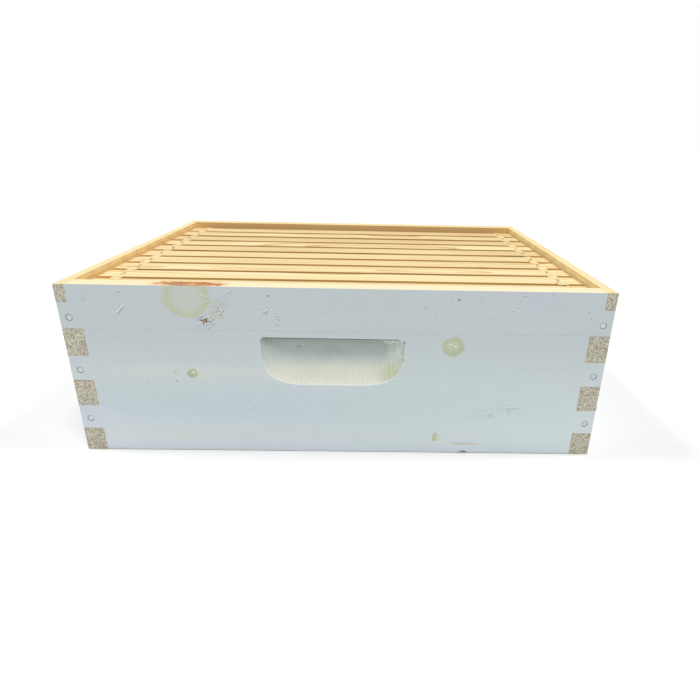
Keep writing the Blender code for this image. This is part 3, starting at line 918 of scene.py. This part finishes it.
# Paint that dragged and clotted round the torn knot, and up to the right of it.
for _ in range(34):
    turn, far = random.uniform(0, 2 * math.pi), random.uniform(0.6, 1.3)
    x, z = -0.1215 + 0.0075 * far * math.cos(turn), 0.1360 + 0.0048 * far * math.sin(turn)
    nubs.append(add_nub(x, z, random.uniform(0.0005, 0.0011), random.uniform(0.8, 1.8), turn))
for _ in range(16):
    along = random.random()
    x, z = -0.1130 + 0.0160 * along, 0.1400 + 0.0230 * along
    x, z = x + random.gauss(0, 0.003), min(z + random.gauss(0, 0.003), 0.165)
    nubs.append(add_nub(x, z, random.uniform(0.0004, 0.0009), random.uniform(0.8, 2.0), -0.8))
nubs = join(nubs, "paint_nubs")
nubs.data.materials.append(nub_paint)
smooth_by_angle(nubs)
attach(nubs, "hive_box")

deselect_all()
bpy.ops.mesh.primitive_cylinder_add(vertices=12, radius=BRISTLE_RADIUS, depth=BRISTLE_LONG)
bristle = bpy.context.object
bristle.name = bristle.data.name = "painted_bristle"
round_edges(bristle, 0.0008)
bristle.data.transform(Matrix.Rotation(math.radians(42), 4, "Y"))
bristle.data.transform(Matrix.Translation((-0.1966, BOX_LOW.y + 0.00141, 0.1458)))
bristle.data.materials.append(nub_paint)
smooth_by_angle(bristle)
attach(bristle, "hive_box")


def add_ridge(places, radius):
    """A raised thread of paint through the given x and z places, tapered at both ends."""
    line = bpy.data.curves.new("ridge", "CURVE")
    line.dimensions = "3D"
    line.bevel_depth = radius
    line.bevel_resolution = 2
    thread = line.splines.new("NURBS")
    thread.points.add(len(places) - 1)
    thread.order_u = 3
    thread.use_endpoint_u = True
    depth = BOX_LOW.y + max(FACE_BACK - 0.0001, radius)
    for number, (point, (x, z)) in enumerate(zip(thread.points, places)):
        point.co = (x, depth, z, 1)
        point.radius = 0.3 if number in (0, len(places) - 1) else 1.0
    ridge = bpy.data.objects.new("ridge", line)
    bpy.context.scene.collection.objects.link(ridge)
    make_active(ridge)
    bpy.ops.object.convert(target="MESH")
    return bpy.context.object


ridges = [
    add_ridge(places, radius)
    for places, radius in (
        (((0.1230, 0.0440), (0.1300, 0.0424), (0.1400, 0.0436), (0.1507, 0.0452)), 0.00050),
        (((0.1290, 0.0462), (0.1370, 0.0480), (0.1450, 0.0486)), 0.00035),
        (((0.1500, 0.0470), (0.1512, 0.0432), (0.1545, 0.0424), (0.1552, 0.0458)), 0.00060),
        (((0.1560, 0.0470), (0.1620, 0.0512), (0.1688, 0.0518), (0.1740, 0.0500)), 0.00055),
        (((0.1630, 0.0478), (0.1665, 0.0500), (0.1700, 0.0472), (0.1668, 0.0456)), 0.00055),
        (((0.1690, 0.0540), (0.1740, 0.0520), (0.1790, 0.0487)), 0.00045),
        (((0.1693, 0.0965), (0.1745, 0.1015), (0.1792, 0.1078)), 0.00032),
        (((-0.1770, 0.1070), (-0.1740, 0.1130), (-0.1687, 0.1200)), 0.00032),
        (((-0.0690, 0.1440), (-0.0672, 0.1462), (-0.0650, 0.1468)), 0.00080),
        (((0.1922, 0.1672), (0.1934, 0.1662), (0.1950, 0.1650)), 0.00060),
    )
]
ridges = join(ridges, "paint_ridges")
ridges.data.materials.append(nub_paint)
smooth_by_angle(ridges)
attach(ridges, "hive_box")

# ---------------------------------------------------------------------------
# The ten frames: planed pine parts that the fork joints, glue and one staple
# at each end hold together. Every bar is cut from another part of a log.

STAPLE_LONG = 0.0095
STAPLE_WIRE = 0.0006
SLOT_WIDE, SLOT_DEEP = 0.0016, 0.0014  # what a staple crushed in the bar
BAR_EASE, END_BAR_EASE = 0.0005, 0.0004

# The staples' wire and the crushed pine of their slots are dark brown: partly tarnish and crushed
# wood, partly painted shade in the slots.
stops = ((0.35, "#6e4626"), (0.65, "#a5794e"))
staple_steel, shader, _ = mottled("tarnished_wire_in_painted_slot_shade", 0.45, 500.0, 2.0, stops)
shader.inputs["Metallic"].default_value = 0.6
stops = ((0.35, "#8a5426"), (0.65, "#b9824a"))
shaded_slot_pine = mottled("crushed_pine_in_painted_slot_shade", 0.8, 600.0, 2.0, stops)[0]

wood_glue, shader = new_material("dried_wood_glue", 0.3)
shader.inputs["Base Color"].default_value = srgb("#e8b344")
shader.inputs["Subsurface Weight"].default_value = 0.2
shader.inputs["Subsurface Radius"].default_value = (0.002, 0.001, 0.0005)


def merged_copy(node, name):
    """A copy of a frame solid, its loose triangles merged into whole flat faces."""
    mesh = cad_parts[node].data.copy()
    mesh.materials.clear()
    mesh.name = name
    piece = bpy.data.objects.new(name, mesh)
    bpy.context.scene.collection.objects.link(piece)
    make_active(piece)
    bpy.ops.object.mode_set(mode="EDIT")
    bpy.ops.mesh.select_all(action="SELECT")
    bpy.ops.mesh.remove_doubles(threshold=1e-6)
    bpy.ops.mesh.dissolve_limited(angle_limit=math.radians(0.2))
    bpy.ops.object.mode_set(mode="OBJECT")
    return piece


def finish_frame_part(piece, node, body):
    """Puts a piece on its frame's body; node is the CAD solid that it stands in for, if any."""
    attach(piece, body)
    if node:
        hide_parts(node)


def add_staple(centre, lean, name):
    """The crown of a wire staple, lying in the slot that it crushed across the bar."""
    deselect_all()
    bpy.ops.mesh.primitive_cylinder_add(vertices=8, radius=STAPLE_WIRE, depth=STAPLE_LONG - 0.0008)
    crown = bpy.context.object
    crown.data.transform(Matrix.Rotation(math.radians(90), 4, "X"))
    crown.data.transform(Matrix.Rotation(lean, 4, "Z"))
    crown.data.transform(Matrix.Translation(centre - Vector((0, 0, 0.0009))))
    crown.name = crown.data.name = name
    return crown


def add_glue_bead(centre, size):
    """Glue that was squeezed out of a joint and dried as a flat, uneven bead."""
    deselect_all()
    bpy.ops.mesh.primitive_ico_sphere_add(subdivisions=2, radius=size)
    bead = bpy.context.object
    for vertex in bead.data.vertices:
        vertex.co *= 1 + 0.6 * noise.noise(vertex.co * 500 + centre * 90)
        vertex.co = centre + Vector((vertex.co.x * 0.7, vertex.co.y * 1.3, vertex.co.z * 0.4))
    return bead


# How far a knot that fell out of an end bar lies behind that bar's front.
LOST_KNOTS = {(1, "right_end_bar"): 0.0330, (6, "right_end_bar"): 0.0}
LOST_KNOT_RADII = (0.0056, 0.0042, 0.0040)

random.seed(1907)
for number in range(1, 11):
    body = f"frame_{number:02d}"
    low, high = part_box(f"{body}_top_bar")
    middle = (low + high) / 2

    bar = merged_copy(f"{body}_top_bar", f"{body}_top_bar_wood")
    round_edges(bar, BAR_EASE)
    for material in (bare_pine, shaded_side_pine):
        bar.data.materials.append(material)
    # The bars' front and back faces take the darker pine: painted shade between the bars.
    for face in bar.data.polygons:
        face.material_index = 1 if abs(face.normal.y) > 0.7 else 0
    near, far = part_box(f"{body}_right_end_bar")
    end_bar_middle = (near.x + far.x) / 2
    crowns = []
    for side in (-1, 1):
        lean = random.uniform(-0.22, 0.22)
        spot_x = side * end_bar_middle + random.uniform(-0.0012, 0.0012)
        centre = Vector((spot_x, middle.y + random.uniform(-0.002, 0.002), high.z))
        slot_low = (-SLOT_WIDE / 2, -STAPLE_LONG / 2, -SLOT_DEEP)
        slot = add_block("slot", slot_low, (SLOT_WIDE / 2, STAPLE_LONG / 2, 0.002))
        slot.data.transform(Matrix.Rotation(lean, 4, "Z"))
        slot.data.transform(Matrix.Translation(centre))
        slot.data.materials.append(shaded_slot_pine)
        subtract(bar, slot)
        crowns.append(add_staple(centre, lean, "crown"))
    smooth_by_angle(bar)
    turn = random.uniform(0, 2 * math.pi)
    far = random.uniform(0.03, 0.09)
    pith = (far * math.cos(turn), far * math.sin(turn))
    age = 0.02 * (number - 6) + random.uniform(-0.14, 0.14)
    set_log_place(bar, "x", pith, random.uniform(2, 30), age)
    finish_frame_part(bar, f"{body}_top_bar", body)
    staples = join(crowns, f"{body}_staples")
    staples.data.materials.append(staple_steel)
    smooth_by_angle(staples)
    finish_frame_part(staples, None, body)

    beads = []
    for word in ("left_end_bar", "right_end_bar"):
        near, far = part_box(f"{body}_{word}")
        for _ in range(random.choice((2, 3, 4))):
            x = random.choice((near.x, far.x)) + random.uniform(-0.0008, 0.0008)
            y = middle.y + random.choice((-1, 1)) * random.uniform(0.0085, 0.0125)
            beads.append(add_glue_bead(Vector((x, y, far.z)), random.uniform(0.0007, 0.0017)))
    beads = join(beads, f"{body}_glue_beads")
    beads.data.materials.append(wood_glue)
    smooth_by_angle(beads)
    finish_frame_part(beads, None, body)

    for word, along in (("left_end_bar", "z"), ("right_end_bar", "z"), ("bottom_bar", "x")):
        piece = merged_copy(f"{body}_{word}", f"{body}_{word}_wood")
        round_edges(piece, END_BAR_EASE)
        piece.data.materials.append(bare_pine)
        if (number, word) in LOST_KNOTS:
            # A dark knot fell out of the top of this one.
            near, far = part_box(f"{body}_{word}")
            place = ((near.x + far.x) / 2 - 0.0015, near.y + LOST_KNOTS[number, word], far.z)
            subtract(piece, add_crater(place, LOST_KNOT_RADII, 4.0, dark_wood))
        smooth_by_angle(piece)
        pith = (random.uniform(-0.08, 0.08), random.uniform(0.03, 0.08))
        set_log_place(piece, along, pith, random.uniform(2, 30), random.uniform(-0.2, 0.1))
        finish_frame_part(piece, f"{body}_{word}", body)

# ---------------------------------------------------------------------------
# Foundation: a thin sheet pressed with worker cells, 5.3 mm across the flats,
# and rolled with beeswax. It sits in the grooves of the top and bottom bars.

CELL_SIDE = 0.0031
CELL_DEEP = 0.0009
SHEET_THICK = 0.0009

stops = ((0.35, "#d9a441"), (0.65, "#efc66c"))
wax, shader, _ = mottled("pressed_beeswax_coat", 0.38, 45.0, 3.0, stops)
shader.inputs["Subsurface Weight"].default_value = 0.15
shader.inputs["Subsurface Radius"].default_value = (0.003, 0.002, 0.001)


def add_foundation(name, node):
    """A lattice of triangles: every third point is pushed in, so six triangles make one cell."""
    low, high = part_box(node)
    wide, tall = high.x - low.x - CELL_SIDE, high.z - low.z
    columns = int(wide / CELL_SIDE)
    rows = int(tall / (CELL_SIDE * math.sqrt(3) / 2))
    deselect_all()
    bpy.ops.mesh.primitive_grid_add(x_subdivisions=columns, y_subdivisions=rows, size=1)
    sheet = bpy.context.object
    sheet.name = sheet.data.name = name
    row_high = tall / rows
    for vertex in sheet.data.vertices:
        column = round((vertex.co.x + 0.5) * columns)
        row = round((vertex.co.y + 0.5) * rows)
        shift = 0.5 * (row % 2)
        pressed = (column - row % 2) % 3 == 0
        vertex.co = (
            low.x + (column + shift) * wide / columns + CELL_SIDE / 4,
            (low.y + high.y) / 2 + (CELL_DEEP / 2 if pressed else -CELL_DEEP / 2),
            low.z + row * row_high,
        )
    bpy.ops.object.mode_set(mode="EDIT")
    bpy.ops.mesh.select_all(action="SELECT")
    bpy.ops.mesh.quads_convert_to_tris(quad_method="SHORTEST_DIAGONAL")
    bpy.ops.object.mode_set(mode="OBJECT")
    thicken = sheet.modifiers.new("sheet", "SOLIDIFY")
    thicken.thickness = SHEET_THICK
    thicken.offset = 0
    apply_modifiers(sheet)
    return sheet


for number in range(1, 11):
    body = f"frame_{number:02d}"
    sheet = add_foundation(f"{body}_foundation_sheet", f"{body}_foundation")
    sheet.data.materials.append(wax)
    finish_frame_part(sheet, f"{body}_foundation", body)
